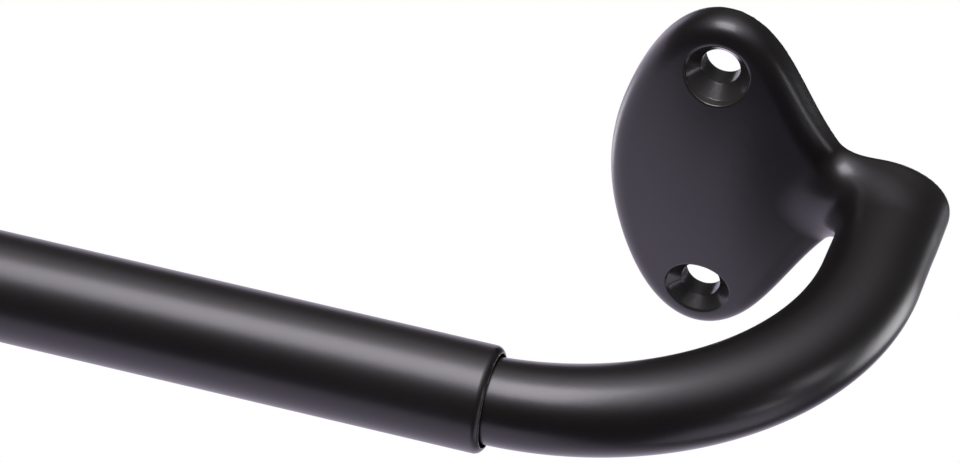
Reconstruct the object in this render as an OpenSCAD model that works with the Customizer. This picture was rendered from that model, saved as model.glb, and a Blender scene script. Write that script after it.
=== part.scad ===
// Wrap-around telescopic curtain rod: a centre tube, a slide tube at each end, and a cast end
// bracket on each slide tube whose elbow turns back to an oval wall plate.
// Frame: origin on the wall plane at mid-span, +X along the rod to the right, +Y into the wall,
// +Z up. The room is on the -Y side. Everything is drawn at the shortest setting.

/* [Centre tube] */
// Length of the centre tube, which is nearly the span between the two elbows at the shortest setting
centre_len = 608; // [400:2:900]
// Outside diameter of the centre tube
centre_od = 16; // [15.6:0.1:17]
// Wall thickness of the centre tube
centre_wall = 0.6; // [0.5:0.1:0.7]
// Outside radius of the rolled-in rim at each mouth
rim_r = 1.3; // [1.1:0.1:1.6]

/* [Slide tubes] */
// Outside diameter of the slide tubes and of the elbow where it leaves the mouth
slide_od = 12.8; // [12.4:0.1:13]
// Wall thickness of the slide tubes
slide_wall = 0.7; // [0.5:0.1:0.9]
// How far each end pulls out
travel = 254; // [100:1:254]

/* [Elbow] */
// Distance from the wall to the axis of the rod
projection = 67; // [62:1:80]
// How far the mouth of the centre tube covers the start of the bend, at the shortest setting
cover = 2.5; // [1:0.1:3]
// Radius of the elbow's centre line
bend_r = 46.9; // [45:0.1:49]
// Width of the elbow in the plane of the bend, half way along, as a curve's control value
mid_w = 16.4; // [14:0.1:17]
// Width of the elbow in the plane of the bend, at the wall
wall_w = 14.8; // [13:0.1:17]
// Height of the elbow half way along, as a curve's control value
mid_h = 14.4; // [13:0.1:16]
// Height of the elbow at the wall
wall_h = 13; // [11:0.1:15]
// Size of the rounding of the elbow's end where it meets the wall
foot = 3; // [1:0.1:5]

/* [Wall plate] */
// Distance from the start of the bend to the middle of the plate, along the rod
plate_x = 17.8; // [17:0.1:19]
// Width of the oval plate
plate_w = 30.4; // [29:0.1:32]
// Height of the oval plate
plate_h = 57.2; // [54:0.1:60]
// Thickness that the plate's face would fall to, far from its middle
face_base = 1.9; // [1.5:0.1:3]
// Thickness of the plate at its crown
plate_crown = 8.3; // [7.5:0.1:8.6]
// Size of the blend that forms the neck between the plate and the foot of the elbow
neck_blend = 24; // [20:0.5:28]
// Size of the fillet between the plate's face and the elbow, at the rod's level
fillet = 10; // [6:0.5:12]

/* [Screw holes] */
// Distance between the two screw holes
hole_gap = 40.5; // [38:0.1:42]
// Diameter of a screw hole
hole_d = 6.1; // [5:0.1:6.4]
// Largest diameter of the 90 degree countersink
sink_d = 9.9; // [9:0.1:10.4]
// Height above the wall at which the countersink starts
sink_h = 3.9; // [3.5:0.1:4.2]
// Size of the chamfer at the back of a screw hole
back_chamfer = 0.6; // [0.3:0.1:0.8]

/* [Inner parts] */
// Length of the elbow's straight collar, which stays inside the centre tube
collar_len = 14; // [10:1:18]
// Length of the spigot that fits inside the slide tube
spigot_len = 25; // [20:1:35]
// Diameter of the spring pin through the spigot
pin_d = 2.5; // [2:0.1:3]
// Bore of the spring pin
pin_bore = 1.3; // [1:0.1:1.4]
// Length of the glide's head, which slides in the centre tube
head_len = 12; // [8:1:16]
// Length of the glide's stub, which fills the end of the slide tube
stub_len = 18; // [12:1:24]
// Bore through the glide
glide_bore = 5; // [3:0.5:7]
// Number of spring fingers on the glide's head
fingers = 6; // [4:2:8]

/* [Hidden] */

round_fn = 96;
running_gap = 0.05;   // radial clearance of a part that slides or turns in another
seat_gap = 0.01;      // radial clearance of a part that is fixed in another
face_gap = 0.3;       // clearance between the faces of parts that move
past = 1;             // how far a cutter runs past the face that it cuts
join = 0.4;           // how far two solids of one casting run into each other

centre_r = centre_od / 2;
bore_r = centre_r - centre_wall;
slide_r = slide_od / 2;
slide_bore_r = slide_r - slide_wall;
mouth_x = centre_len / 2;
glide_x = 2;                                          // inner face of a glide, from mid-span
slide_in_x = glide_x + head_len + face_gap;           // inner end of a slide tube
elbow_x = mouth_x - cover;                            // start of the right-hand bend
slide_out_x = elbow_x - collar_len;                   // outer end of a slide tube
liner_out_x = mouth_x - rim_r - face_gap;             // end of a liner, behind the rolled rim
liner_in_x = glide_x + head_len + travel + face_gap;  // end of a liner that stops the glide
liner_chamfer = 0.6;
rim_sweep = 70;                                       // angle through which the rim is rolled
rim_steps = 10;
pin_x = -collar_len - 9;                              // place of the spring pin, from the bend
pin_slot = 0.4;
pin_short = 0.1;                                      // each end of the pin is this far below flush
nose_chamfer = 0.8;
finger_slot = 0.9;

// Casting: the surface is where casting_gap() is zero, and rings of points are found on it by
// halving along rays from a spine that follows the elbow and then turns along the plate.
path_len = bend_r * PI / 2 + projection - bend_r;
neck_end = bend_r - wall_w / 4;   // how far along X the middle line of the plate's neck reaches
edge_blend = 3.3;      // blend between the plate's side and its face
face_spread = 1.2;     // how slowly the plate's face falls from its crown
fillet_spread = 12;    // how slowly the fillet shrinks above and below the rod's level
fillet_least = 1;
behind = 1;            // the casting's surface ends this far behind the wall, and is cut off there
spine_h = 1.5;         // height of the spine above the wall inside the plate
ring_points = 36;
halvings = 16;
arc_end = 80;          // angle round the bend at which the rings start to fan round the corner
arc_step = 5;
fan_step = 4;
edge_end = 86;         // the last ring stops just short of the plate's far edge
edge_step = 9.5;
elbow_reach = 14;      // length of the rays round the elbow
fan_reach = 14;        // length of the rays round the corner, in the plane of the bend
plate_reach = 12;      // length of the rays through the plate, towards the wall
fan_full = 60;         // angle of the fan from which its rays reach the plate's full height
clear = 1.3;           // how far a ray reaches, as a share of the plate's half height
fan_x = plate_x;
fan_y = bend_r - plate_x / tan(arc_end);

// Smaller of two distances, rounded off over a blend of size k
function blend(p, q, k) = min(p, q) - pow(max(k - abs(p - q), 0), 2) / (4 * k);

// Quadratic curve through a and c with control value b
function curve(a, b, c, u) = a * (1 - u) * (1 - u) + 2 * b * u * (1 - u) + c * u * u;

// Distance from an ellipse, close to true near its outline
function ellipse_gap(x, y, a, b) =
    let (k0 = norm([x / a, y / b]), k1 = norm([x / (a * a), y / (b * b)]))
    k1 == 0 ? -min(a, b) : k0 * (k0 - 1) / k1;

// Fraction of the way from the mouth to the wall, and distance from the elbow's centre line
function along(p) =
    p.y >= bend_r ? [(path_len - projection + p.y) / path_len, abs(p.x - bend_r)]
    : p.x <= 0 ? [0, abs(p.y)]
    : [atan2(p.x, bend_r - p.y) * PI / 180 * bend_r / path_len,
        abs(norm([p.x, p.y - bend_r]) - bend_r)];

function elbow_gap(p) =
    let (at = along(p), u = min(at[0], 1),
        gap = ellipse_gap(at[1], p.z, curve(slide_od, mid_w, wall_w, u) / 2,
            curve(slide_od, mid_h, wall_h, u) / 2))
    -blend(-gap, projection + behind - p.y, foot);

// Gap to the outline of the plate: an oval with a neck that reaches the foot of the elbow
function outline_gap(p) =
    let (oval = ellipse_gap(p.x - plate_x, p.z, plate_w / 2, plate_h / 2),
        neck = norm([p.x - max(min(p.x, neck_end), plate_x), p.z]))
    blend(oval, neck, neck_blend);

function plate_gap(p) =
    let (k = norm([(p.x - plate_x) / (plate_w / 2), p.z / (plate_h / 2)]),
        face = face_base + (plate_crown - face_base) * exp(-pow(k / face_spread, 2)))
    -blend(-outline_gap(p), face - (projection - p.y), edge_blend);

function fillet_at(z) = fillet_least + fillet * exp(-pow(z / fillet_spread, 2));

function casting_gap(p) =
    max(blend(elbow_gap(p), plate_gap(p), fillet_at(p.z)), p.y - projection - behind);

function on_surface(from, ray, near, far, n) =
    let (mid = (near + far) / 2)
    n == 0 ? from + mid * ray
    : casting_gap(from + mid * ray) < 0 ? on_surface(from, ray, mid, far, n - 1)
    : on_surface(from, ray, near, mid, n - 1);

// One ring: its centre, the direction of its plane, and the reach along that and along Z
function ring(station) =
    [for (i = [0 : ring_points - 1])
        let (t = 360 * i / ring_points)
        on_surface(station[0], station[2] * cos(t) * station[1] + [0, 0, station[3] * sin(t)],
            0, 1, halvings)];

function outward(a) = [cos(a), sin(a), 0];

arc_stations = [for (a = [0 : arc_step : arc_end])
    [[0, bend_r, 0] + bend_r * outward(a - 90), outward(a - 90), elbow_reach, elbow_reach]];

fan_stations = [for (a = [arc_end - 90 + fan_step : fan_step : 90])
    let (rho = min((bend_r - fan_x) / cos(a), (projection - spine_h - fan_y) / max(sin(a), 0.01)),
        wide = max(plate_h / 2 * min(a / fan_full, 1), elbow_reach))
    [[fan_x, fan_y, 0] + rho * outward(a), outward(a), fan_reach, clear * wide]];

plate_stations = [for (a = [edge_step : edge_step : edge_end])
    [[plate_x - plate_w / 2 * sin(a), projection - spine_h, 0], [0, 1, 0], plate_reach,
        clear * plate_h / 2 * cos(a) + past]];

module casting_skin() {
    stations = concat(arc_stations, fan_stations, plate_stations);
    count = len(stations);
    points = [for (s = stations) each ring(s)];
    sides = [for (j = [0 : count - 2], i = [0 : ring_points - 1])
        let (a = j * ring_points + i, b = j * ring_points + (i + 1) % ring_points)
        each [[a, b, a + ring_points], [b, b + ring_points, a + ring_points]]];
    caps = [[for (i = [ring_points - 1 : -1 : 0]) i],
        [for (i = [0 : ring_points - 1]) (count - 1) * ring_points + i]];
    polyhedron(points, concat(sides, caps), convexity = 6);
}

module along_x(from, to, r) {
    translate([from, 0, 0]) rotate([0, 90, 0]) cylinder(h = to - from, r = r, $fn = round_fn);
}

// The screw hole, from the wall outwards along -Y: back chamfer, bore, countersink and its lip
module screw_hole() {
    hole_r = hole_d / 2;
    sink_r = sink_d / 2;
    rotate([90, 0, 0]) rotate_extrude($fn = round_fn)
        polygon([[0, -past], [hole_r + back_chamfer + past, -past], [hole_r, back_chamfer],
            [hole_r, sink_h], [sink_r, sink_h + sink_r - hole_r], [sink_r, plate_crown + 2 * past],
            [0, plate_crown + 2 * past]]);
}

// One end bracket, with its origin on the rod's axis where the bend starts
module end_bracket() {
    behind_box = 2 * plate_h;
    difference() {
        union() {
            casting_skin();
            along_x(-collar_len, join, slide_r);
            along_x(-collar_len - spigot_len, -collar_len + join, slide_bore_r - seat_gap);
        }
        translate([-behind_box / 2, projection, -behind_box / 2]) cube(behind_box);
        for (side = [-1, 1])
            translate([plate_x, projection, side * hole_gap / 2]) screw_hole();
        translate([pin_x, 0, 0])
            cylinder(h = slide_od + 2 * past, r = pin_d / 2 + seat_gap, center = true, $fn = round_fn);
    }
}

// Half of the centre tube's section, as radius and distance from mid-span: a straight wall and a
// rim that is rolled inwards
function rim_arc(r, from, to) =
    [for (i = [0 : rim_steps])
        let (a = from + (to - from) * i / rim_steps)
        [centre_r - rim_r + r * cos(a), mouth_x - rim_r + r * sin(a)]];

module centre_tube() {
    half = concat(rim_arc(rim_r, 0, rim_sweep), rim_arc(rim_r - centre_wall, rim_sweep, 0));
    other = [for (i = [len(half) - 1 : -1 : 0]) [half[i].x, -half[i].y]];
    color("#2b2b2e") translate([0, -projection, 0]) rotate([0, 90, 0])
        rotate_extrude($fn = round_fn) polygon(concat(half, other));
}

// Sleeve behind the rim: the slide tube runs in it, and the glide's head stops against it
module mouth_liner() {
    out_r = bore_r - seat_gap;
    in_r = slide_r + running_gap;
    color("#4a4a50") rotate([0, 90, 0]) rotate_extrude($fn = round_fn)
        polygon([[in_r, liner_in_x], [out_r, liner_in_x], [out_r, liner_out_x - liner_chamfer],
            [out_r - liner_chamfer, liner_out_x], [in_r, liner_out_x]]);
}

module slide_tube() {
    color("#38383c") difference() {
        along_x(slide_in_x, slide_out_x, slide_r);
        along_x(slide_in_x - past, slide_out_x + past, slide_bore_r);
        translate([elbow_x + pin_x, 0, 0])
            cylinder(h = slide_od + 2 * past, r = pin_d / 2 + seat_gap, center = true, $fn = round_fn);
    }
}

// Rolled spring pin that holds the spigot in the slide tube
module spring_pin() {
    pin_len = slide_od - 2 * pin_short;
    color("#b8b8b8") translate([elbow_x + pin_x, 0, 0]) difference() {
        cylinder(h = pin_len, r = pin_d / 2, center = true, $fn = round_fn);
        cylinder(h = pin_len + 2 * past, r = pin_bore / 2, center = true, $fn = round_fn);
        translate([0, -pin_slot / 2, -pin_len / 2 - past]) cube([pin_d, pin_slot, pin_len + 2 * past]);
    }
}

// Plug at the inner end of a slide tube: spring fingers on the head drag in the centre tube
module glide() {
    head_r = bore_r - running_gap;
    stub_r = slide_bore_r - running_gap;
    stub_x = glide_x + head_len;
    color("#e8e6df") difference() {
        rotate([0, 90, 0]) rotate_extrude($fn = round_fn)
            polygon([[0, glide_x], [head_r - nose_chamfer, glide_x], [head_r, glide_x + nose_chamfer],
                [head_r, stub_x], [stub_r, stub_x], [stub_r, stub_x + stub_len - nose_chamfer],
                [stub_r - nose_chamfer, stub_x + stub_len], [0, stub_x + stub_len]]);
        along_x(glide_x - past, stub_x + stub_len + past, glide_bore / 2);
        for (i = [0 : fingers / 2 - 1]) rotate([360 / fingers * i, 0, 0])
            translate([glide_x - past, -finger_slot / 2, -head_r - past])
                cube([past + head_len / 2, finger_slot, 2 * (head_r + past)]);
    }
}

module on_rod() {
    translate([0, -projection, 0]) children();
}

module on_left() {
    mirror([1, 0, 0]) on_rod() children();
}

module bracket_in_place() {
    color("#303034") translate([elbow_x, 0, 0]) end_bracket();
}

centre_tube();
on_left() mouth_liner();  // left_mouth_liner
on_rod() mouth_liner();  // right_mouth_liner
on_left() slide_tube();  // left_slide_tube
on_rod() slide_tube();  // right_slide_tube
on_left() bracket_in_place();  // left_end_bracket
on_rod() bracket_in_place();  // right_end_bracket
on_left() spring_pin();  // left_spring_pin
on_rod() spring_pin();  // right_spring_pin
on_left() glide();  // left_glide
on_rod() glide();  // right_glide
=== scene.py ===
"""Looks of a wrap-around curtain rod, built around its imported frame.

The object's and the camera's lengths are in millimetres and are turned into metres where they are used. The
floor's and the lights' lengths are in metres.
Every piece lies in the row frame: X along the rod, Y into the wall, Z up.
"""

import math

import bmesh
import bpy
import numpy as np
from mathutils import Matrix, Vector


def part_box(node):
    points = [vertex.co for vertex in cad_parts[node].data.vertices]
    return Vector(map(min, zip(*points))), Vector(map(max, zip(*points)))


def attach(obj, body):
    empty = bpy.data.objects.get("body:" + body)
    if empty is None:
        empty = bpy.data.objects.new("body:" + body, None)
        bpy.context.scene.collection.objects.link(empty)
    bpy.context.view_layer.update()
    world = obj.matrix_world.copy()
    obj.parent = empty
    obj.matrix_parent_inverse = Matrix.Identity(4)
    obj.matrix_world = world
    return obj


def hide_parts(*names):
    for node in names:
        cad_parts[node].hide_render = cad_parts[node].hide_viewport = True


MM = 0.001

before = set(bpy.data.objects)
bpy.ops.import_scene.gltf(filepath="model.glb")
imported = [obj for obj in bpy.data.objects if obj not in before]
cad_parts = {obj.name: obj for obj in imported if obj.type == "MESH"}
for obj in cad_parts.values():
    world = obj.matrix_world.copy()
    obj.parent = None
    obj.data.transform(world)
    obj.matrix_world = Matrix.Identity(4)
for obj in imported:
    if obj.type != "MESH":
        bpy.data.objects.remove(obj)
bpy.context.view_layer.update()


def node_box(node):
    """Lowest and highest corner of a CAD node in millimetres."""
    low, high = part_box(node)
    return np.array(low) / MM, np.array(high) / MM


# ---------------------------------------------------------------- sizes
COLLAR_LEN = 14.0
SPIGOT_LEN = 25.0
SLIDE_WALL = 0.7
CENTRE_WALL = 0.6
RIM_R = 1.3
SEAT_GAP = 0.01
COVER = 2.5
BEND_R = 46.9
MID_W, WALL_W = 16.4, 14.8
MID_H, WALL_H = 14.4, 13.0
FOOT = 3.0
FOOT_DEPTH = 1.0
FILLET_LEAST = 1.0
PLATE_X = 17.8
PLATE_W, PLATE_H = 30.4, 57.2
FACE_BASE, PLATE_CROWN = 1.9, 8.3
FACE_SPREAD = 1.2
EDGE_BLEND = 3.3
NECK_BLEND = 24.0
FILLET, FILLET_SPREAD = 10.0, 12.0
HOLE_GAP, HOLE_R, SINK_R = 40.5, 3.05, 4.95
SINK_H = 3.9
BACK_CHAMFER = 0.6
PIN_R, PIN_BORE_R = 1.25, 0.65
PIN_X = -COLLAR_LEN - 9.0
RUNNING_GAP = 0.05      # radial clearance of a part that slides or turns in another
FACE_GAP = 0.3          # clearance between the faces of parts that move
END_ROUND = 0.12        # rounding of a cut tube's edges
BORE_REACH = 0.2        # how far from a screw hole's surface the thin film of its coat fades out

# Rounding of the casting's edges
COLLAR_ROUND, SPIGOT_ROUND, BACK_ROUND, HOLE_ROUND, PIN_ROUND = 0.5, 1.0, 0.5, 0.35, 0.2

# Faces round the axis of each turned piece
TUBE_TURNS, SLIDE_TURNS, LINER_TURNS, GLIDE_TURNS, PIN_TURNS = 180, 144, 120, 96, 48
DRILL_TURNS = 48

tube_low, tube_high = node_box("centre_tube")
slide_low, slide_high = node_box("right_slide_tube")
liner_low, liner_high = node_box("right_mouth_liner")
glide_low, glide_high = node_box("right_glide")
pin_low, pin_high = node_box("right_spring_pin")

AXIS_Y = (tube_low[1] + tube_high[1]) / 2
PROJECTION = -AXIS_Y
CENTRE_R = (tube_high[2] - tube_low[2]) / 2
SLIDE_R = (slide_high[2] - slide_low[2]) / 2
MOUTH_X = tube_high[0]
ELBOW_X = MOUTH_X - COVER
NECK_END = BEND_R - WALL_W / 4
PATH_LEN = BEND_R * math.pi / 2 + PROJECTION - BEND_R


# ---------------------------------------------------------------- the casting's shape
# A casting is worked out in its own axes, from the point where the elbow leaves the mouth:
# x along the rod, y towards the wall, z up. Its surface is where casting_gap() is zero.
def blend(p, q, size):
    """The smaller of two distances, rounded off where they are within size of each other."""
    return np.minimum(p, q) - np.maximum(size - np.abs(p - q), 0) ** 2 / (4 * size)


def cut(p, q, size):
    """What is left of p when q is taken away, with an edge rounded off."""
    return -blend(-p, q, size)


def curve(a, b, c, u):
    """Quadratic curve from a to c with control value b."""
    return a * (1 - u) ** 2 + 2 * b * u * (1 - u) + c * u * u


def ellipse_gap(x, y, a, b):
    """Gap to an ellipse, near enough to the true distance close to it."""
    k0 = np.hypot(x / a, y / b) + 1e-9
    k1 = np.hypot(x / (a * a), y / (b * b)) + 1e-9
    return k0 * (k0 - 1) / k1


def elbow_gap(x, y, z):
    """Gap to the elbow and its straight collar, whose section swells from the mouth to the wall."""
    straight = y >= BEND_R
    before = (x <= 0) & ~straight
    off = np.where(straight, np.abs(x - BEND_R), np.abs(np.hypot(x, y - BEND_R) - BEND_R))
    off = np.where(before, np.abs(y), off)
    turn = np.arctan2(np.maximum(x, 0), np.maximum(BEND_R - y, 1e-6))
    u = np.where(straight, PATH_LEN - PROJECTION + y, turn * BEND_R) / PATH_LEN
    u = np.where(before, 0.0, np.clip(u, 0, 1))
    half_w = curve(2 * SLIDE_R, MID_W, WALL_W, u) / 2
    half_h = curve(2 * SLIDE_R, MID_H, WALL_H, u) / 2
    return cut(ellipse_gap(off, z, half_w, half_h), PROJECTION + FOOT_DEPTH - y, FOOT)


def plate_gap(x, y, z):
    """Gap to the plate: an oval with a neck that reaches the foot of the elbow, crowned at its middle."""
    oval_x = x - PLATE_X
    k = np.hypot(oval_x / (PLATE_W / 2), z / (PLATE_H / 2))
    face = FACE_BASE + (PLATE_CROWN - FACE_BASE) * np.exp(-((k / FACE_SPREAD) ** 2))
    oval = ellipse_gap(oval_x, z, PLATE_W / 2, PLATE_H / 2)
    neck = np.hypot(x - np.clip(x, PLATE_X, NECK_END), z)
    side = blend(oval, neck, NECK_BLEND)
    return -blend(-side, face - (PROJECTION - y), EDGE_BLEND)


def screw_hole_gap(x, y, z):
    """Bore, back chamfer and countersink of both screw holes."""
    r = np.hypot(x - PLATE_X, np.abs(z) - HOLE_GAP / 2)
    h = PROJECTION - y
    slope = math.sqrt(0.5)
    bore = r - HOLE_R
    back = (r - HOLE_R - BACK_CHAMFER + h) * slope
    sink = np.maximum((r - HOLE_R - h + SINK_H) * slope, r - SINK_R)
    return np.minimum(np.minimum(bore, back), sink)


def casting_gap(p):
    """Gap to the whole casting: elbow, plate, collar and spigot, less its holes."""
    x, y, z = p[..., 0], p[..., 1], p[..., 2]
    fillet = FILLET_LEAST + FILLET * np.exp(-((z / FILLET_SPREAD) ** 2))
    skin = blend(elbow_gap(x, y, z), plate_gap(x, y, z), fillet)
    skin = cut(skin, x + COLLAR_LEN, COLLAR_ROUND)
    spigot_r = SLIDE_R - SLIDE_WALL - SEAT_GAP
    spigot = cut(np.hypot(y, z) - spigot_r, x + COLLAR_LEN + SPIGOT_LEN, SPIGOT_ROUND)
    spigot = np.maximum(spigot, x + COLLAR_LEN / 2)
    skin = np.minimum(skin, spigot)
    skin = cut(skin, PROJECTION - y, BACK_ROUND)
    skin = cut(skin, screw_hole_gap(x, y, z), HOLE_ROUND)
    return cut(skin, np.hypot(x - PIN_X, y) - PIN_R - SEAT_GAP, PIN_ROUND)


def slope_of(gap, p, step=0.02):
    """Gradient of a gap at points p, by differences."""
    out = np.empty_like(p)
    for axis in range(3):
        shift = np.zeros(3)
        shift[axis] = step
        out[:, axis] = (gap(p + shift) - gap(p - shift)) / (2 * step)
    return out


def settle(gap, p, rounds=3):
    """Points p moved onto the surface."""
    for _ in range(rounds):
        g = slope_of(gap, p)
        p = p - (gap(p) / np.maximum((g * g).sum(1), 1e-6))[:, None] * g
    return p


def skin_of(gap, low, high, step):
    """Vertices and quads of the surface inside a box: one vertex for each cell that it crosses."""
    axes = [np.arange(a, b + step, step) for a, b in zip(low, high)]
    shape = tuple(len(a) for a in axes)
    field = np.empty(shape)
    yy, zz = np.meshgrid(axes[1], axes[2], indexing="ij")
    slab = 16
    for i in range(0, shape[0], slab):
        xs = axes[0][i : i + slab, None, None] + 0 * yy
        field[i : i + slab] = gap(np.stack([xs, yy + 0 * xs, zz + 0 * xs], -1))
    inside = field < 0
    cells = tuple(n - 1 for n in shape)
    total = np.zeros(cells + (3,))
    count = np.zeros(cells)
    starts = np.stack(np.meshgrid(*[a[:-1] for a in axes], indexing="ij"), -1)
    for axis in range(3):
        others = [a for a in range(3) if a != axis]
        for du in (0, 1):
            for dv in (0, 1):
                a = [slice(0, n) for n in cells]
                for other, d in zip(others, (du, dv)):
                    a[other] = slice(d, d + cells[other])
                b = list(a)
                b[axis] = slice(1, 1 + cells[axis])
                a, b = tuple(a), tuple(b)
                hit = inside[a] != inside[b]
                t = field[a][hit] / (field[a][hit] - field[b][hit])
                point = np.zeros((len(t), 3))
                point[:, axis] = t * step
                point[:, others[0]] = du * step
                point[:, others[1]] = dv * step
                total[hit] += starts[hit] + point
                count[hit] += 1
    crossed = count > 0
    index = np.full(cells, -1)
    index[crossed] = np.arange(crossed.sum())
    points = total[crossed] / count[crossed][:, None]
    quads = []
    for axis in range(3):
        u, v = [(axis + 1) % 3, (axis + 2) % 3]
        a = [slice(1, n - 1) for n in shape]
        a[axis] = slice(0, shape[axis] - 1)
        b = list(a)
        b[axis] = slice(1, shape[axis])
        first, second = inside[tuple(a)], inside[tuple(b)]
        where = np.argwhere(first != second)
        leaving = first[first != second]
        base = where + np.array([s.start for s in a])
        corners = []
        for du, dv in ((1, 1), (0, 1), (0, 0), (1, 0)):
            cell = base.copy()
            cell[:, u] -= du
            cell[:, v] -= dv
            corners.append(index[cell[:, 0], cell[:, 1], cell[:, 2]])
        quad = np.stack(corners, 1)
        quad[~leaving] = quad[~leaving][:, ::-1]
        quads.append(quad)
    return points, np.concatenate(quads)


# ---------------------------------------------------------------- mesh helpers
def new_object(name, mesh):
    piece = bpy.data.objects.new(name, mesh)
    bpy.context.scene.collection.objects.link(piece)
    return piece


def mesh_from(name, points, faces):
    """Mesh from points in millimetres, shaded smooth."""
    mesh = bpy.data.meshes.new(name)
    mesh.from_pydata((np.asarray(points) * MM).tolist(), [], np.asarray(faces).tolist())
    mesh.shade_smooth()
    mesh.update()
    return mesh


def arc(x, r, radius, start, end, steps=8):
    """Points (x, r) along an arc; angles in degrees, from the outward direction towards +x."""
    angles = [math.radians(start + (end - start) * i / steps) for i in range(steps + 1)]
    return [(x + radius * math.sin(a), r + radius * math.cos(a)) for a in angles]


def lathe(name, profile, turns, wobble=None):
    """Closed profile of (x, r) points turned about the rod's axis; wobble(angle, i) adds to the radius."""
    points = []
    for k in range(turns):
        a = math.radians(360.0 * k / turns)
        for i, (x, r) in enumerate(profile):
            r = r + (wobble(a, i) if wobble else 0)
            points.append((x, AXIS_Y + r * math.sin(a), r * math.cos(a)))
    n = len(profile)
    faces = []
    for k in range(turns):
        here, there = k * n, ((k + 1) % turns) * n
        for i in range(n):
            j = (i + 1) % n
            faces.append((here + i, here + j, there + j, there + i))
    mesh = bpy.data.meshes.new(name)
    mesh.from_pydata([tuple(c * MM for c in p) for p in points], [], faces)
    mesh.shade_smooth()
    mesh.update()
    return mesh


def mark(mesh, name, values):
    """A named number for each vertex, which a material reads."""
    layer = mesh.attributes.new(name, "FLOAT", "POINT")
    layer.data.foreach_set("value", np.asarray(values, np.float32))


def outward(mesh):
    """Turns every face of a closed mesh outwards."""
    bm = bmesh.new()
    bm.from_mesh(mesh)
    bmesh.ops.recalc_face_normals(bm, faces=bm.faces)
    bm.to_mesh(mesh)
    bm.free()
    mesh.update()


def mirrored(name, mesh):
    """Copy of a mesh for the other end of the rod."""
    other = mesh.copy()
    other.name = name
    other.transform(Matrix.Diagonal((-1, 1, 1, 1)))
    other.flip_normals()
    other.update()
    return other


# ---------------------------------------------------------------- materials
class Paint:
    """A material whose nodes are added by name."""

    def __init__(self, name, **sockets):
        self.material = bpy.data.materials.new(name)
        self.material.use_nodes = True
        self.tree = self.material.node_tree
        self.shader = self.tree.nodes["Principled BSDF"]
        for key, value in sockets.items():
            self.shader.inputs[key.replace("_", " ")].default_value = value
        self.place = self.add("ShaderNodeTexCoord").outputs["Object"]

    def add(self, kind, **settings):
        node = self.tree.nodes.new(kind)
        for key, value in settings.items():
            setattr(node, key, value)
        return node

    def link(self, source, target):
        self.tree.links.new(source, target)

    def noise(self, scale, detail=2.0, roughness=0.5, stretch=(1, 1, 1)):
        place = self.place
        if stretch != (1, 1, 1):
            mapping = self.add("ShaderNodeMapping")
            mapping.inputs["Scale"].default_value = stretch
            self.link(place, mapping.inputs["Vector"])
            place = mapping.outputs["Vector"]
        node = self.add("ShaderNodeTexNoise")
        node.inputs["Scale"].default_value = scale
        node.inputs["Detail"].default_value = detail
        node.inputs["Roughness"].default_value = roughness
        self.link(place, node.inputs["Vector"])
        return node.outputs["Fac"]

    def math(self, operation, a, b=None, clamp=False):
        node = self.add("ShaderNodeMath", operation=operation, use_clamp=clamp)
        for socket, value in zip(node.inputs, (a, b)):
            if isinstance(value, (int, float)):
                socket.default_value = value
            elif value is not None:
                self.link(value, socket)
        return node.outputs[0]

    def span(self, value, low, high, to_low=0.0, to_high=1.0):
        node = self.add("ShaderNodeMapRange")
        self.link(value, node.inputs["Value"])
        for key, number in (("From Min", low), ("From Max", high), ("To Min", to_low), ("To Max", to_high)):
            node.inputs[key].default_value = number
        return node.outputs["Result"]

    def between(self, share, one, two):
        node = self.add("ShaderNodeMix", data_type="RGBA")
        self.link(share, node.inputs["Factor"])
        for key, value in (("A", one), ("B", two)):
            socket = next(s for s in node.inputs if s.name == key and s.type == "RGBA")
            if isinstance(value, tuple):
                socket.default_value = value + (1.0,)
            else:
                self.link(value, socket)
        return next(s for s in node.outputs if s.type == "RGBA")

    def bump(self, height, distance, strength=1.0, after=None):
        node = self.add("ShaderNodeBump")
        node.inputs["Distance"].default_value = distance
        node.inputs["Strength"].default_value = strength
        self.link(height, node.inputs["Height"])
        if after is not None:
            self.link(after, node.inputs["Normal"])
        return node.outputs["Normal"]

    def attribute(self, name):
        return self.add("ShaderNodeAttribute", attribute_name=name).outputs["Fac"]

    def finish(self, colour=None, rough=None, normal=None, metal=None):
        sources = {"Base Color": colour, "Roughness": rough, "Normal": normal, "Metallic": metal}
        for key, source in sources.items():
            if source is not None:
                self.link(source, self.shader.inputs[key])
        return self.material


COAT = (0.0036, 0.0031, 0.0029)
COAT_PALE = (0.0060, 0.0053, 0.0050)
COAT_THIN = (0.022, 0.021, 0.020)
# Pale grey for sharp outer edges: thin film there and a painted highlight.
EDGE_FILM_AND_HIGHLIGHT = (0.095, 0.092, 0.090)
STEEL = (0.46, 0.45, 0.44)


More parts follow.
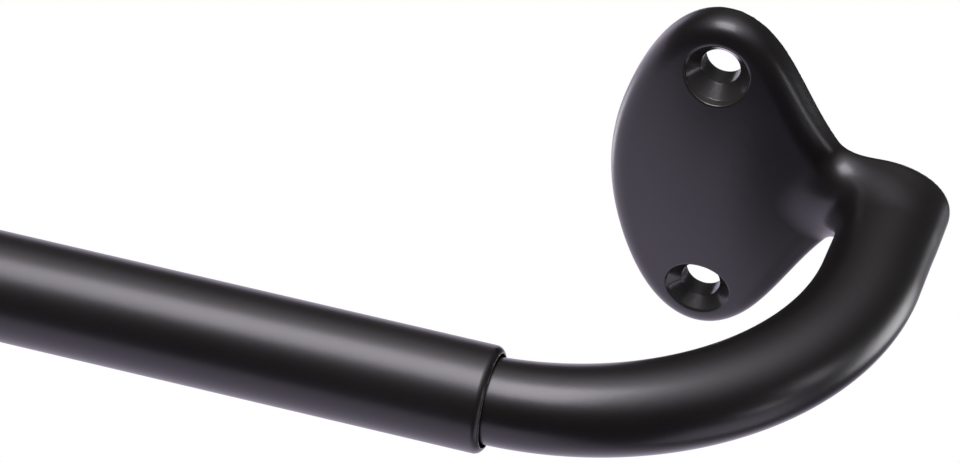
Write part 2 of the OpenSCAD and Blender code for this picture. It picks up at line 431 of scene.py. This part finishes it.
def powder_coat(name, smooth, rough, lumps, fine):
    """Satin black powder coat: fine grain, orange peel, and thin or worn film on the edges and in holes.

    The mesh's edge mark is 0 on plain surfaces and rises to 1 on sharp outer edges, which are lightened both
    for the thin film there and as a painted highlight. Its bore mark is 1 in the screw holes, where the coat
    is thinner and glossier. Bump heights lumps and fine are in millimetres.
    """
    paint = Paint(name, Specular_IOR_Level=0.5, IOR=1.5, Specular_Tint=(0.957, 0.914, 1.0, 1.0))
    grain = paint.noise(5200.0, 1.0)
    peel = paint.noise(620.0, 2.0)
    slow = paint.noise(95.0, 1.0)
    broad = paint.noise(24.0, 3.0, 0.6)
    chips = paint.noise(900.0, 4.0, 0.7)
    edge = paint.attribute("edge")
    worn = paint.math("MULTIPLY", paint.span(edge, 0.5, 0.9), paint.span(chips, 0.46, 0.56))
    colour = paint.between(paint.span(broad, 0.3, 0.7), COAT, COAT_PALE)
    # Sharp outer edges lightened: partly thin film, partly a painted highlight.
    colour = paint.between(paint.span(edge, 0.6, 0.95, 0.0, 0.8), colour, EDGE_FILM_AND_HIGHLIGHT)
    colour = paint.between(paint.attribute("bore"), colour, COAT_THIN)
    colour = paint.between(worn, colour, STEEL)
    base = paint.span(broad, 0.25, 0.75, rough - smooth, rough + smooth)
    base = paint.math("ADD", base, paint.span(grain, 0.2, 0.8, -0.03, 0.03))
    base = paint.math("ADD", base, paint.span(paint.attribute("bore"), 0.0, 1.0, 0.0, -0.12))
    normal = paint.bump(slow, lumps * MM)
    normal = paint.bump(peel, 0.012 * MM, after=normal)
    normal = paint.bump(grain, fine * MM, after=normal)
    return paint.finish(colour, base, normal, worn)


def moulded_plastic(name, colour, pale, rough):
    """Injection-moulded plastic with a spark-eroded texture and faint flow marks."""
    paint = Paint(name, Specular_IOR_Level=0.45)
    flow = paint.noise(60.0, 3.0, 0.6, stretch=(0.25, 1, 1))
    texture = paint.noise(3200.0, 2.0)
    shade = paint.between(paint.span(flow, 0.3, 0.7), colour, pale)
    base = paint.span(texture, 0.2, 0.8, rough - 0.06, rough + 0.06)
    return paint.finish(shade, base, paint.bump(texture, 0.01 * MM))


def spring_steel(name):
    """Rolled spring steel with fine drawing lines."""
    paint = Paint(name, Metallic=1.0)
    lines = paint.noise(2600.0, 3.0, 0.6, stretch=(1, 1, 0.05))
    colour = paint.between(paint.span(lines, 0.3, 0.7), (0.40, 0.40, 0.41), (0.56, 0.55, 0.54))
    base = paint.span(lines, 0.2, 0.8, 0.24, 0.42)
    return paint.finish(colour, base, paint.bump(lines, 0.004 * MM))


tube_black = powder_coat("tube_black", 0.03, 0.33, 0.004, 0.0035)
casting_black = powder_coat("casting_black", 0.03, 0.31, 0.012, 0.0012)
liner_plastic = moulded_plastic("liner_plastic", (0.016, 0.016, 0.017), (0.024, 0.024, 0.025), 0.5)
glide_plastic = moulded_plastic("glide_plastic", (0.70, 0.68, 0.61), (0.76, 0.74, 0.68), 0.4)
pin_steel = spring_steel("pin_steel")


# ---------------------------------------------------------------- pieces
def place(name, mesh, material, body, node, slot):
    """Adds a piece that rides on a body and stands for a CAD node."""
    mesh.materials.clear()
    mesh.materials.append(material)
    piece = new_object(name, mesh)
    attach(piece, body)
    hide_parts(node)
    return piece


def both_ends(stem, mesh, material, body, node, slot):
    """The piece at the right-hand end, and its mirror image at the left-hand end."""
    place("right_" + stem, mesh, material, "right_" + body, "right_" + node, slot)
    left = mirrored("left_" + stem, mesh)
    place("left_" + stem, left, material, "left_" + body, "left_" + node, slot)


def casting_mesh():
    """The casting, one vertex for each cell of its surface, with normals and marks from its shape."""
    step = 0.6
    margin = 1.3
    low = np.array([-COLLAR_LEN - SPIGOT_LEN, -SLIDE_R - 1, -PLATE_H / 2]) - margin
    high = np.array([BEND_R + WALL_W / 2 + 1, PROJECTION, PLATE_H / 2]) + margin
    points, quads = skin_of(casting_gap, low, high, step)
    points = settle(casting_gap, points)
    mesh = mesh_from("casting", points, quads)
    refine_holes(mesh)
    co = np.empty(len(mesh.vertices) * 3)
    mesh.vertices.foreach_get("co", co)
    points = settle(casting_gap, co.reshape(-1, 3) / MM)
    normals = slope_of(casting_gap, points)
    normals /= np.linalg.norm(normals, axis=1)[:, None]
    bend = edge_sharpness(points, normals)
    bore = np.clip(1 - np.abs(screw_hole_gap(*points.T)) / BORE_REACH, 0, 1)
    points = points + np.array([ELBOW_X, AXIS_Y, 0])
    mesh.vertices.foreach_set("co", (points * MM).ravel())
    mesh.shade_smooth()
    mesh.update()
    mesh.normals_split_custom_set_from_vertices(normals.tolist())
    # Sharp edges marked for the coat to lighten, as thin film and a painted highlight.
    mark(mesh, "edge", bend)
    mark(mesh, "bore", bore)
    return mesh


def refine_holes(mesh):
    """Cuts the faces round the screw holes finer, and more so close to them."""
    reach, closer, rounds = SINK_R + 2.0, 0.8, 2
    bm = bmesh.new()
    bm.from_mesh(mesh)
    for _ in range(rounds):
        edges = set()
        for face in bm.faces:
            c = face.calc_center_median() / MM
            if math.hypot(c.x - PLATE_X, abs(c.z) - HOLE_GAP / 2) < reach and c.y > BEND_R:
                edges.update(face.edges)
        bmesh.ops.subdivide_edges(bm, edges=list(edges), cuts=1, use_grid_fill=True)
        reach -= closer
    bm.to_mesh(mesh)
    bm.free()


def edge_sharpness(points, normals, reach=0.12, least=0.1):
    """0 on gentle surfaces, rising to 1 on the sharpest outer edges.

    The gap to the surface is added up at a short reach in four tangent directions and divided by that reach.
    What is above a least value counts. The tangents start from skew, which no flat of the casting faces.
    """
    skew = [0.31, 0.52, 0.79]
    spread = np.zeros(len(points))
    tangent = np.cross(normals, skew)
    tangent /= np.linalg.norm(tangent, axis=1)[:, None]
    other = np.cross(normals, tangent)
    for way in (tangent, -tangent, other, -other):
        spread += casting_gap(points + reach * way)
    return np.clip(spread / reach - least, 0, 1)


def centre_tube_mesh():
    """Tube with both mouths rolled inwards; the cut edge of the roll is slightly uneven."""
    lip, lip_steps, inner_steps, plain = 70.0, 14, 8, 30
    inner = RIM_R - CENTRE_WALL
    x, r = MOUTH_X - RIM_R, CENTRE_R - RIM_R
    half = [(x - plain, CENTRE_R)] + arc(x, r, RIM_R, 0, lip, lip_steps)
    tip = half[-1]
    far = arc(x, r, inner, lip, 0, inner_steps)
    round_r = END_ROUND
    sway, ripple = 0.02, 0.012
    away = (math.cos(math.radians(lip)), -math.sin(math.radians(lip)))
    inward = (-math.sin(math.radians(lip)), -math.cos(math.radians(lip)))
    corner = [
        (
            tip[0] + inward[0] * round_r * (1 - math.cos(t)) + away[0] * round_r * math.sin(t),
            tip[1] + inward[1] * round_r * (1 - math.cos(t)) + away[1] * round_r * math.sin(t),
        )
        for t in [math.radians(d) for d in (25, 50, 75, 100)]
    ]
    half = half + corner + far + [(x - plain, CENTRE_R - CENTRE_WALL)]
    profile = half + [(-px, pr) for px, pr in half[::-1]]
    n = len(profile)
    tip_first, tip_last = lip_steps, lip_steps + len(corner)
    tips = set(range(tip_first, tip_last + 1)) | {n - 1 - i for i in range(tip_first, tip_last + 1)}

    def uneven(a, i):
        near = i in tips
        return sway * math.sin(3 * a + 0.7) + ripple * math.sin(11 * a) if near else 0.0

    mesh = lathe("centre_tube_shell", profile, TUBE_TURNS, wobble=uneven)
    outward(mesh)
    # The roll's cut edge is marked for the coat to lighten, as thin film and a painted highlight.
    edge = np.array([1.0 if i in tips else 0.0 for i in range(n)])
    edge[tip_first] = edge[n - 1 - tip_first] = 0.6
    mark(mesh, "edge", np.tile(edge, TUBE_TURNS))
    return mesh


def tube_mesh(name, x0, x1, outer, inner, round_r):
    """Plain tube with rounded ends."""
    steps = 5
    profile = (
        arc(x0 + round_r, outer - round_r, round_r, -90, 0, steps)
        + arc(x1 - round_r, outer - round_r, round_r, 0, 90, steps)
        + arc(x1 - round_r, inner + round_r, round_r, 90, 180, steps)
        + arc(x0 + round_r, inner + round_r, round_r, 180, 270, steps)
    )
    mesh = lathe(name, profile, SLIDE_TURNS)
    outward(mesh)
    return mesh


def carve(mesh, cutters):
    """Takes cutter meshes away from a mesh."""
    base = new_object("carve_base", mesh)
    for cutter in cutters:
        tool = new_object("carve_tool", cutter)
        modifier = base.modifiers.new("carve", "BOOLEAN")
        modifier.operation = "DIFFERENCE"
        modifier.solver = "EXACT"
        modifier.object = tool
    graph = bpy.context.evaluated_depsgraph_get()
    result = bpy.data.meshes.new_from_object(base.evaluated_get(graph))
    for modifier in base.modifiers:
        bpy.data.objects.remove(modifier.object)
    bpy.data.objects.remove(base)
    return result


def drill(x, radius, length):
    """Upright cylinder through the rod's axis at x, for a cross hole."""
    bm = bmesh.new()
    r = radius * MM
    bmesh.ops.create_cone(bm, cap_ends=True, segments=DRILL_TURNS, radius1=r, radius2=r, depth=length * MM)
    bmesh.ops.translate(bm, verts=bm.verts, vec=Vector((x, AXIS_Y, 0)) * MM)
    mesh = bpy.data.meshes.new("drill")
    bm.to_mesh(mesh)
    bm.free()
    return mesh


def slide_tube_mesh():
    """Slide tube with the cross hole for its spring pin."""
    bore_r = SLIDE_R - SLIDE_WALL
    mesh = tube_mesh("slide_tube_shell", slide_low[0], slide_high[0], SLIDE_R, bore_r, END_ROUND)
    past = 2.0
    mesh = carve(mesh, [drill(ELBOW_X + PIN_X, PIN_R + SEAT_GAP, 2 * (SLIDE_R + past))])
    mesh.shade_smooth()
    mesh.set_sharp_from_angle(angle=math.radians(40))
    co = np.empty(len(mesh.vertices) * 3)
    mesh.vertices.foreach_get("co", co)
    x = co.reshape(-1, 3)[:, 0] / MM
    ends = np.minimum(np.abs(x - slide_low[0]), np.abs(x - slide_high[0]))
    # Cut ends marked for the coat to lighten, as thin film and a painted highlight.
    mark(mesh, "edge", np.clip(1 - ends / END_ROUND, 0, 1))
    return mesh


def liner_mesh():
    """Sleeve with a lead-in at both ends and three shallow grooves in its bore for grease."""
    x0, x1 = liner_low[0], liner_high[0]
    outer = (liner_high[2] - liner_low[2]) / 2
    inner = SLIDE_R + RUNNING_GAP
    lead, groove_w, groove_d = 0.5, 1.2, 0.25
    bore = []
    for share in (0.75, 0.5, 0.25):
        g = x0 + (x1 - x0) * share
        bore += [(g + groove_w / 2, inner), (g + groove_w / 4, inner + groove_d)]
        bore += [(g - groove_w / 4, inner + groove_d), (g - groove_w / 2, inner)]
    profile = [(x0, outer - 0.2), (x0 + 0.2, outer), (x1 - lead, outer)]
    profile += [(x1 - lead / 3, outer - lead / 3), (x1, outer - lead)]
    profile += [(x1, inner + 0.2), (x1 - 0.2, inner)] + bore + [(x0 + 0.2, inner), (x0, inner + 0.2)]
    mesh = lathe("mouth_liner_sleeve", profile, LINER_TURNS)
    outward(mesh)
    mesh.set_sharp_from_angle(angle=math.radians(35))
    return mesh


def glide_mesh():
    """Plug with spring fingers and a shallow groove on its head, and a plain stub."""
    x0, x1 = glide_low[0], glide_high[0]
    head_len = slide_low[0] - x0 - FACE_GAP
    head_r = (glide_high[2] - glide_low[2]) / 2
    stub_r = SLIDE_R - SLIDE_WALL - RUNNING_GAP
    bore_r, nose, groove = 2.5, 0.8, 0.35
    stub_x = x0 + head_len
    profile = [(x0, bore_r + 0.4), (x0, head_r - nose)] + arc(x0 + nose, head_r - nose, nose, -80, 0, 6)
    profile += [(x0 + 3.6, head_r), (x0 + 4.0, head_r - groove)]   # a groove round the head
    profile += [(x0 + 5.0, head_r - groove), (x0 + 5.4, head_r)]
    profile += [(stub_x - 0.3, head_r), (stub_x, head_r - 0.3), (stub_x, stub_r)]
    profile += [(x1 - 0.8, stub_r), (x1 - 0.2, stub_r - 0.4), (x1, stub_r - 0.9)]
    profile += [(x1, bore_r + 0.4), (x1 - 0.4, bore_r), (x0 + 0.4, bore_r)]
    mesh = lathe("glide_plug", profile, GLIDE_TURNS)
    outward(mesh)
    slot_w, slots = 0.9, 3
    cutters = []
    for k in range(slots):
        bm = bmesh.new()
        bmesh.ops.create_cube(bm, size=1.0)
        bmesh.ops.scale(bm, verts=bm.verts, vec=Vector((head_len, slot_w, 2 * head_r + 2)) * MM)
        bmesh.ops.rotate(bm, verts=bm.verts, matrix=Matrix.Rotation(math.pi * k / slots, 3, "X"))
        bmesh.ops.translate(bm, verts=bm.verts, vec=Vector((x0, AXIS_Y, 0)) * MM)
        cutter = bpy.data.meshes.new("slot")
        bm.to_mesh(cutter)
        bm.free()
        cutters.append(cutter)
    mesh = carve(mesh, cutters)
    mesh.shade_smooth()
    mesh.set_sharp_from_angle(angle=math.radians(35))
    return mesh


def pin_mesh():
    """Rolled spring pin: a slotted tube with tapered ends, turned upright through the spigot."""
    half = (pin_high[2] - pin_low[2]) / 2
    taper, slot_deg, turns = 0.5, 20.0, PIN_TURNS
    outer, inner = PIN_R, PIN_BORE_R
    rows = [(-half, inner + 0.1), (-half, outer - 0.2), (-half + taper, outer), (half - taper, outer)]
    rows += [(half, outer - 0.2), (half, inner + 0.1), (half - 0.2, inner), (-half + 0.2, inner)]
    points, faces = [], []
    n = len(rows)
    for k in range(turns + 1):
        a = math.radians(slot_deg / 2 + (360 - slot_deg) * k / turns)
        for z, r in rows:
            points.append((ELBOW_X + PIN_X + r * math.cos(a), AXIS_Y + r * math.sin(a), z))
    for k in range(turns):
        for i in range(n):
            j = (i + 1) % n
            faces.append((k * n + i, (k + 1) * n + i, (k + 1) * n + j, k * n + j))
    faces.append(tuple(range(n)))
    faces.append(tuple(turns * n + i for i in range(n))[::-1])
    mesh = bpy.data.meshes.new("spring_pin_roll")
    mesh.from_pydata([tuple(c * MM for c in p) for p in points], [], faces)
    outward(mesh)
    mesh.shade_smooth()
    mesh.set_sharp_from_angle(angle=math.radians(30))
    return mesh


place("centre_tube_shell", centre_tube_mesh(), tube_black, "centre", "centre_tube", "tube_black")
both_ends("end_casting", casting_mesh(), casting_black, "end", "end_bracket", "casting_black")
both_ends("slide_tube_shell", slide_tube_mesh(), tube_black, "end", "slide_tube", "slide_black")
both_ends("spring_pin_roll", pin_mesh(), pin_steel, "end", "spring_pin", "pin_steel")
both_ends("glide_plug", glide_mesh(), glide_plastic, "glide", "glide", "glide_plastic")
liner = liner_mesh()
left_liner = mirrored("left_liner_sleeve", liner)
place("right_liner_sleeve", liner, liner_plastic, "centre", "right_mouth_liner", "liner_plastic")
place("left_liner_sleeve", left_liner, liner_plastic, "centre", "left_mouth_liner", "liner_plastic")


# ---------------------------------------------------------------- camera, light and floor
VIEW_AZIMUTH = 14.52
VIEW_ELEVATION = 37.89
VIEW_ROLL = 3.82
VIEW_DISTANCE = 900.1
VIEW_RISE = 23.86
VIEW_RIGHT = 0.48
LENS = 234.6
SENSOR = 36.0

# The gloss sees a dim room that brightens overhead, and a floor that glows where its X and Y (metres) lie
# between the places at which it is dark and fully lit. The camera sees both as plain white.
ROOM_DIM, ROOM_GLOW, ROOM_POWER = 0.10, 3.0, 6.0
FLOOR_HALF, FLOOR_DEPTH = 60.0, -0.75
FLOOR_RIGHT = (0.78, 0.33)
FLOOR_FRONT = (-1.95, -1.5)
FLOOR_GLOW, FLOOR_DIM = 1.2, 0.1
FLOOR_TINT = (0.89, 0.82, 1.0)

# Soft lights round the rod's right-hand end: name, azimuth from -Y towards +X and elevation in degrees,
# distance and size in metres, radiance and colour
END = Vector((0.31, -0.05, 0))
TOP_OFFSET = Vector((-0.19, -0.375, 1.5))
TOP_SIZE, TOP_RADIANCE = (0.92, 1.11), 7.6
WHITE = (1.0, 1.0, 1.0)
PANELS = (
    ("right_low", 128, -22, 1.2, (0.5, 0.5), 5.0, WHITE),
    ("right_floor", 72, -42, 0.9, (0.55, 0.55), 1.2, (0.92, 0.88, 1.0)),
    ("right_side", 92, 3, 1.2, (0.22, 0.35), 4.0, WHITE),
    ("right_edge", 76, -14, 1.2, (0.2, 0.22), 4.0, WHITE),
    ("left_low", -120, -30, 1.2, (0.35, 0.35), 3.0, WHITE),
)


def camera():
    """Camera at the photograph's angle, aimed a little above the right-hand mouth of the tube."""
    turn = Matrix.Rotation(math.radians(VIEW_AZIMUTH), 4, "Z")
    turn = turn @ Matrix.Rotation(math.radians(90 - VIEW_ELEVATION), 4, "X")
    turn = turn @ Matrix.Rotation(math.radians(VIEW_ROLL), 4, "Z")
    aim = Vector((ELBOW_X, AXIS_Y, 0)) * MM
    aim += turn.to_3x3() @ Vector((VIEW_RIGHT, VIEW_RISE, VIEW_DISTANCE)) * MM
    data = bpy.data.cameras.new("camera")
    data.lens = LENS
    data.sensor_width = SENSOR
    data.clip_start = 0.01
    data.clip_end = 200.0
    eye = bpy.data.objects.new("camera", data)
    eye.matrix_world = Matrix.Translation(aim) @ turn
    bpy.context.scene.collection.objects.link(eye)
    bpy.context.scene.camera = eye


def soft_light(name, centre, target, size, radiance, colour):
    """A rectangular area light of a given radiance that faces a target, unseen by the camera."""
    data = bpy.data.lights.new(name, "AREA")
    data.shape = "RECTANGLE"
    data.size, data.size_y = size
    data.energy = radiance * math.pi * size[0] * size[1]
    data.color = colour
    lamp = bpy.data.objects.new(name, data)
    lamp.location = centre
    lamp.rotation_euler = (Vector(target) - Vector(centre)).to_track_quat("-Z", "Y").to_euler()
    lamp.visible_camera = False
    bpy.context.scene.collection.objects.link(lamp)


def camera_sees(tree, seen, lit):
    """Output of a shader that the camera sees as seen and that lights the object as lit."""
    path = tree.nodes.new("ShaderNodeLightPath")
    mix = tree.nodes.new("ShaderNodeMixShader")
    tree.links.new(path.outputs["Is Camera Ray"], mix.inputs[0])
    tree.links.new(lit, mix.inputs[1])
    tree.links.new(seen, mix.inputs[2])
    return mix.outputs[0]


def surroundings():
    """White background; for the object's gloss, a room that is dark low down and brightens overhead."""
    world = bpy.data.worlds.new("studio")
    world.use_nodes = True
    tree = world.node_tree
    room = tree.nodes["Background"]
    room.inputs["Color"].default_value = (1.0, 0.99, 1.0, 1)
    way = tree.nodes.new("ShaderNodeTexCoord")
    split = tree.nodes.new("ShaderNodeSeparateXYZ")
    tree.links.new(way.outputs["Generated"], split.inputs[0])
    power = tree.nodes.new("ShaderNodeMath")
    power.operation = "POWER"
    power.use_clamp = True
    tree.links.new(split.outputs["Z"], power.inputs[0])
    power.inputs[1].default_value = ROOM_POWER
    scale = tree.nodes.new("ShaderNodeMath")
    scale.operation = "MULTIPLY_ADD"
    tree.links.new(power.outputs[0], scale.inputs[0])
    scale.inputs[1].default_value = ROOM_GLOW
    scale.inputs[2].default_value = ROOM_DIM
    tree.links.new(scale.outputs[0], room.inputs["Strength"])
    white = tree.nodes.new("ShaderNodeBackground")
    white.inputs["Color"].default_value = (1, 1, 1, 1)
    out = tree.nodes["World Output"]
    tree.links.new(camera_sees(tree, white.outputs[0], room.outputs[0]), out.inputs["Surface"])
    bpy.context.scene.world = world


def floor():
    """A floor well below the rod: the camera sees it plain white, and for the rod's gloss it glows as a
    light, graded along X and Y.
    """
    half, depth = FLOOR_HALF, FLOOR_DEPTH
    corners = [(-half, -half, depth), (half, -half, depth), (half, half, depth), (-half, half, depth)]
    mesh = bpy.data.meshes.new("floor")
    mesh.from_pydata(corners, [], [(0, 1, 2, 3)])
    material = bpy.data.materials.new("floor")
    material.use_nodes = True
    tree = material.node_tree
    tree.nodes.remove(tree.nodes["Principled BSDF"])
    place = tree.nodes.new("ShaderNodeNewGeometry")
    split = tree.nodes.new("ShaderNodeSeparateXYZ")
    tree.links.new(place.outputs["Position"], split.inputs[0])
    glowing_floor = tree.nodes.new("ShaderNodeEmission")
    glowing_floor.inputs["Color"].default_value = FLOOR_TINT + (1,)
    edges = []
    for axis, dark, lit in (("X", *FLOOR_RIGHT), ("Y", *FLOOR_FRONT)):
        edge = tree.nodes.new("ShaderNodeMapRange")
        edge.interpolation_type = "SMOOTHSTEP"
        for key, value in (("From Min", dark), ("From Max", lit), ("To Min", 0.0), ("To Max", 1.0)):
            edge.inputs[key].default_value = value
        tree.links.new(split.outputs[axis], edge.inputs["Value"])
        edges.append(edge.outputs["Result"])
    both = tree.nodes.new("ShaderNodeMath")
    both.operation = "MULTIPLY"
    tree.links.new(edges[0], both.inputs[0])
    tree.links.new(edges[1], both.inputs[1])
    glow = tree.nodes.new("ShaderNodeMath")
    glow.operation = "MULTIPLY_ADD"
    tree.links.new(both.outputs[0], glow.inputs[0])
    glow.inputs[1].default_value = FLOOR_GLOW
    glow.inputs[2].default_value = FLOOR_DIM
    tree.links.new(glow.outputs[0], glowing_floor.inputs["Strength"])
    white = tree.nodes.new("ShaderNodeEmission")
    out = tree.nodes["Material Output"]
    tree.links.new(camera_sees(tree, white.outputs[0], glowing_floor.outputs[0]), out.inputs["Surface"])
    mesh.materials.append(material)
    new_object("floor", mesh)


def lights():
    """One large soft box overhead, and panels that face the rod's right-hand end."""
    top = END + TOP_OFFSET
    soft_light("top_box", top, top - Vector((0, 0, 1)), TOP_SIZE, TOP_RADIANCE, WHITE)
    for name, azimuth, elevation, distance, size, radiance, colour in PANELS:
        az, el = math.radians(azimuth), math.radians(elevation)
        way = Vector((math.sin(az) * math.cos(el), -math.cos(az) * math.cos(el), math.sin(el)))
        soft_light(name, END + distance * way, END, size, radiance, colour)


camera()
surroundings()
floor()
lights()
bpy.context.scene.view_settings.view_transform = "Standard"
